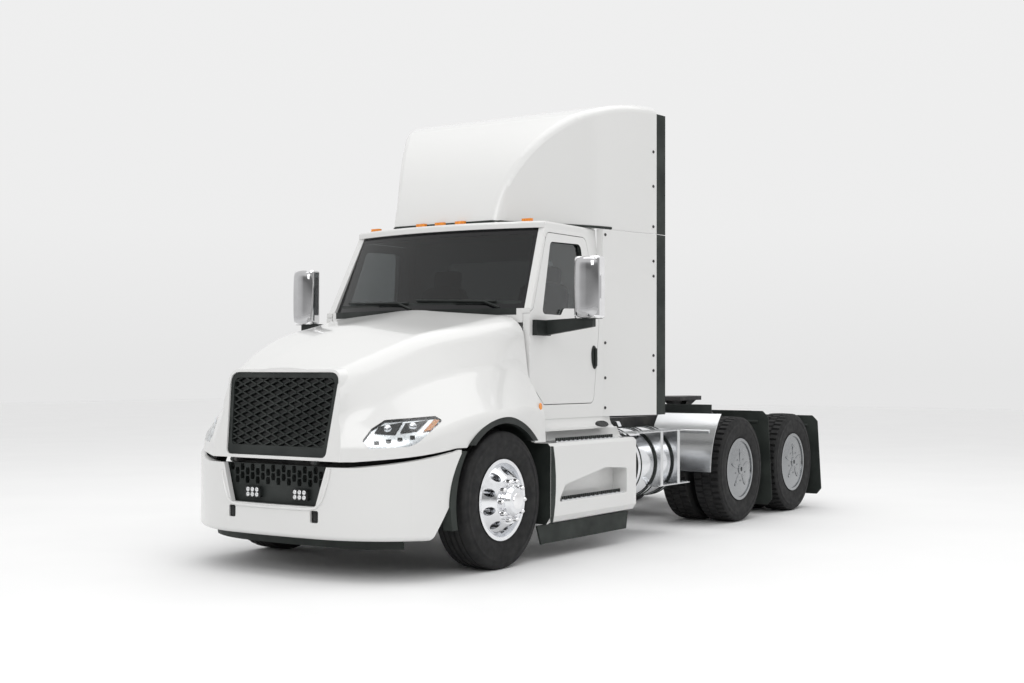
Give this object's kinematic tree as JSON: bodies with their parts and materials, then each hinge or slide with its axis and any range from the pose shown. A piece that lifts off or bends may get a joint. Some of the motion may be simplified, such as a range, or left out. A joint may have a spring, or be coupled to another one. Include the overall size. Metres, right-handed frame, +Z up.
{
  "type": "semi truck tractor unit",
  "caption": "Bonneted day-cab tractor unit with tall roof fairing, tilting hood, opening doors, steered front wheels, twin-tyred tandem drive axles and a tilting fifth wheel.",
  "frame": {"origin": "ground level under the middle of the overall length and width", "axes": "+X forward, +Y to the vehicle's left, +Z up"},
  "size_m": [7.27, 3.114, 3.7463],
  "materials": {
    "white_paint": "gloss",
    "black_plastic": "satin",
    "rubber": "matte",
    "tyre": "matte",
    "polished_metal": "polished",
    "wheel_cover": "satin",
    "bright_steel": "polished",
    "chassis_paint": "satin",
    "cast_iron": "rough",
    "glass": "gloss",
    "lamp_lens": "gloss",
    "amber_lens": "gloss",
    "seat_cloth": "matte"
  },
  "bodies": {
    "chassis": {"bumper": "white_paint", "side_fairings": "white_paint", "roof_fairing": "white_paint", "side_extenders": "white_paint", "cab_floor": "white_paint", "cab_back": "white_paint", "cab_roof": "white_paint", "cab_sides": "white_paint", "cab_cowl": "white_paint", "bumper_grille": "black_plastic", "dashboard": "black_plastic", "rubber_skirts": "rubber", "mud_guards": "rubber", "tanks": "polished_metal", "step_treads": "polished_metal", "quarter_fenders": "bright_steel", "frame_rails": "chassis_paint", "crossmembers": "chassis_paint", "front_axle": "chassis_paint", "drive_axles": "chassis_paint", "suspension": "chassis_paint", "driveline": "chassis_paint", "fifth_wheel_mount": "chassis_paint", "radiator": "chassis_paint", "engine": "cast_iron", "cab_glass": "glass", "marker_lamps": "amber_lens", "seats": "seat_cloth"},
    "hood": {"hood": "white_paint", "grille": "black_plastic", "headlamps": "lamp_lens", "wheel_flares": "black_plastic"},
    "fifth_wheel": {"fifth_wheel_plate": "cast_iron"},
    "tie_rod": {"tie_rod": "chassis_paint"},
    "door_left": {"door_left": "white_paint", "door_glass_left": "glass", "mirror_left": "bright_steel"},
    "knuckle_left": {"knuckle_left": "chassis_paint"},
    "steer_wheel_left": {"steer_tyre_left": "tyre", "steer_wheel_left": "polished_metal"},
    "drive_wheels_1_left": {"drive_tyres_1_left": "tyre", "drive_wheels_1_left": "wheel_cover"},
    "drive_wheels_2_left": {"drive_tyres_2_left": "tyre", "drive_wheels_2_left": "wheel_cover"},
    "door_right": {"door_right": "white_paint", "door_glass_right": "glass", "mirror_right": "bright_steel"},
    "knuckle_right": {"knuckle_right": "chassis_paint"},
    "steer_wheel_right": {"steer_tyre_right": "tyre", "steer_wheel_right": "polished_metal"},
    "drive_wheels_1_right": {"drive_tyres_1_right": "tyre", "drive_wheels_1_right": "wheel_cover"},
    "drive_wheels_2_right": {"drive_tyres_2_right": "tyre", "drive_wheels_2_right": "wheel_cover"}
  },
  "joints": [
    {"name": "hood_tilt", "type": "hinge", "parent": "chassis", "child": "hood", "pos_m": [3.606, 0, 0.806], "axis": [0, 1, 0], "range_deg": [0, 65]},
    {"name": "fifth_wheel_tilt", "type": "hinge", "parent": "chassis", "child": "fifth_wheel", "pos_m": [-2.07, 0, 1.095], "axis": [0, 1, 0], "range_deg": [-12, 12]},
    {"name": "door_left_swing", "type": "hinge", "parent": "chassis", "child": "door_left", "pos_m": [1.89, 1.03, 1.5], "axis": [0, 0, -1], "range_deg": [0, 70]},
    {"name": "steer_left", "type": "hinge", "parent": "chassis", "child": "knuckle_left", "pos_m": [2.43, 0.86, 0.505], "axis": [0, 0, 1], "range_deg": [-40, 40]},
    {"name": "steer_wheel_left_spin", "type": "hinge", "parent": "knuckle_left", "child": "steer_wheel_left", "pos_m": [2.43, 1.025, 0.505], "axis": [0, 1, 0], "continuous": true},
    {"name": "drive_wheels_1_left_spin", "type": "hinge", "parent": "chassis", "child": "drive_wheels_1_left", "pos_m": [-1.555, 0.925, 0.505], "axis": [0, 1, 0], "continuous": true},
    {"name": "drive_wheels_2_left_spin", "type": "hinge", "parent": "chassis", "child": "drive_wheels_2_left", "pos_m": [-2.875, 0.925, 0.505], "axis": [0, 1, 0], "continuous": true},
    {"name": "door_right_swing", "type": "hinge", "parent": "chassis", "child": "door_right", "pos_m": [1.89, -1.03, 1.5], "axis": [0, 0, 1], "range_deg": [0, 70]},
    {"name": "steer_right", "type": "hinge", "parent": "chassis", "child": "knuckle_right", "pos_m": [2.43, -0.86, 0.505], "axis": [0, 0, 1], "range_deg": [-40, 40]},
    {"name": "steer_wheel_right_spin", "type": "hinge", "parent": "knuckle_right", "child": "steer_wheel_right", "pos_m": [2.43, -1.025, 0.505], "axis": [0, 1, 0], "continuous": true},
    {"name": "drive_wheels_1_right_spin", "type": "hinge", "parent": "chassis", "child": "drive_wheels_1_right", "pos_m": [-1.555, -0.925, 0.505], "axis": [0, 1, 0], "continuous": true},
    {"name": "drive_wheels_2_right_spin", "type": "hinge", "parent": "chassis", "child": "drive_wheels_2_right", "pos_m": [-2.875, -0.925, 0.505], "axis": [0, 1, 0], "continuous": true},
    {"name": "tie_rod_swing", "type": "hinge", "parent": "knuckle_left", "child": "tie_rod", "pos_m": [2.2, 0.86, 0.385], "axis": [0, 0, 1], "range_deg": [-40, 40]}
  ],
  "couplings": [
    {"joint": "steer_right", "follows": "steer_left", "ratio": 1},
    {"joint": "tie_rod_swing", "follows": "steer_left", "ratio": -1}
  ]
}
